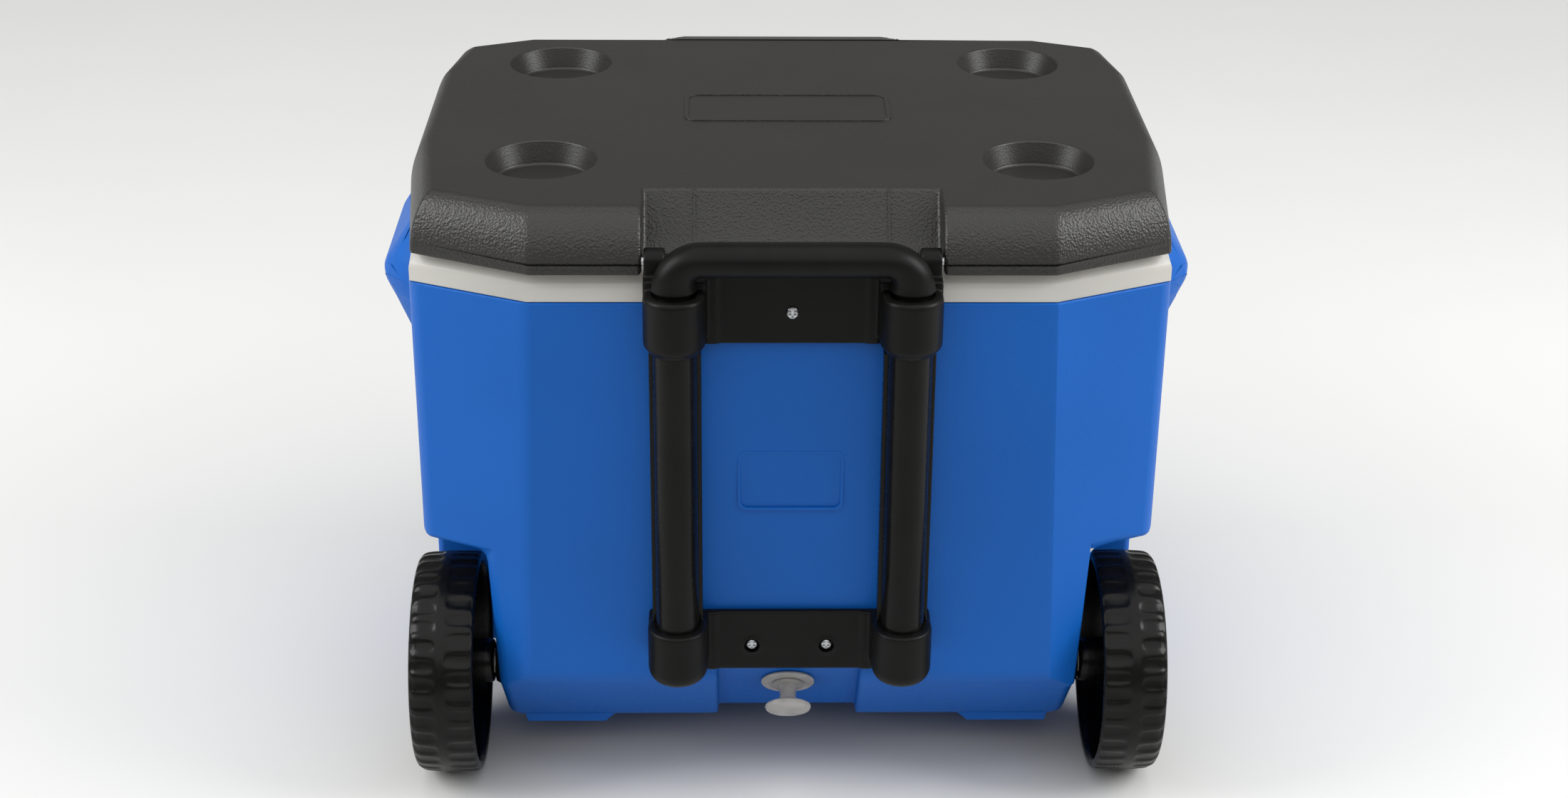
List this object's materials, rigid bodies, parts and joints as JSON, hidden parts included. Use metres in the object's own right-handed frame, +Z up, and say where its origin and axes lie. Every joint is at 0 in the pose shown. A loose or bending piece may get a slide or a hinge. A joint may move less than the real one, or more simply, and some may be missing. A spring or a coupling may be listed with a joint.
{
  "type": "wheeled cooler",
  "caption": "Insulated hard-sided cooler with a hinged lid, moulded cup holders, side handles, two wheels, a telescoping pull handle and a drain plug.",
  "frame": {"origin": "middle of the bounding box at ground level", "axes": "+Z up, X across the width with the left-right symmetry plane at x = 0, -Y towards the back with the pull handle and wheels, +Y towards the front where the lid opens"},
  "size_m": [0.58, 0.467, 0.4511],
  "materials": {
    "blue_shell": "blue high-density polyethylene, fine satin grain",
    "charcoal_lid": "dark charcoal polyethylene, pebble grain",
    "white_liner": "off-white polyethylene, smooth satin",
    "foam": "cream polyurethane foam, hidden inside the walls",
    "black_plastic": "black moulded plastic, satin",
    "black_tube": "black powder-coated tube, satin",
    "wheel_plastic": "hard black plastic, glossy",
    "screw_steel": "zinc-plated steel",
    "grey_plastic": "translucent grey polyethylene",
    "gasket_rubber": "black rubber washer",
    "nylon": "natural nylon"
  },
  "bodies": {
    "tub": {"outer_shell": "blue_shell", "foam_core": "foam", "inner_liner": "white_liner", "upper_bracket": "black_plastic", "lower_bracket": "black_plastic", "screw_upper": "screw_steel", "screw_lower_left": "screw_steel", "screw_lower_right": "screw_steel", "drain_spout": "grey_plastic", "drain_gasket": "gasket_rubber", "drain_nut": "grey_plastic", "outer_tube_left": "black_tube", "hinge_pin_left": "screw_steel", "axle_anchor_left": "screw_steel", "axle_pin_left": "screw_steel", "axle_flange_left": "black_plastic", "axle_cap_left": "black_plastic", "outer_tube_right": "black_tube", "hinge_pin_right": "screw_steel", "axle_anchor_right": "screw_steel", "axle_pin_right": "screw_steel", "axle_flange_right": "black_plastic", "axle_cap_right": "black_plastic"},
    "lid": {"lid_shell": "charcoal_lid", "lid_foam": "foam", "lid_pan": "white_liner"},
    "pull_handle": {"grip": "black_plastic", "slide_tube_left": "black_tube", "glide_left": "nylon", "slide_tube_right": "black_tube", "glide_right": "nylon"},
    "drain_plug": {"drain_plug": "grey_plastic"},
    "wheel_left": {"wheel_left": "wheel_plastic", "wheel_bush_left": "nylon"},
    "wheel_right": {"wheel_right": "wheel_plastic", "wheel_bush_right": "nylon"}
  },
  "joints": [
    {"name": "lid_hinge", "type": "hinge", "parent": "tub", "child": "lid", "pos_m": [0, -0.1895, 0.418], "axis": [1, 0, 0], "range_deg": [0, 66]},
    {"name": "handle_slide", "type": "slide", "parent": "tub", "child": "pull_handle", "axis": [0, 0, 1], "range_m": [0, 0.23]},
    {"name": "wheel_left_spin", "type": "hinge", "parent": "tub", "child": "wheel_left", "pos_m": [0, -0.1303, 0.08], "axis": [1, 0, 0], "continuous": true},
    {"name": "wheel_right_spin", "type": "hinge", "parent": "tub", "child": "wheel_right", "pos_m": [0, -0.1303, 0.08], "axis": [1, 0, 0], "continuous": true},
    {"name": "drain_plug_pull", "type": "slide", "parent": "tub", "child": "drain_plug", "axis": [0, -0.7882, -0.6154], "range_m": [0, 0.024]}
  ]
}
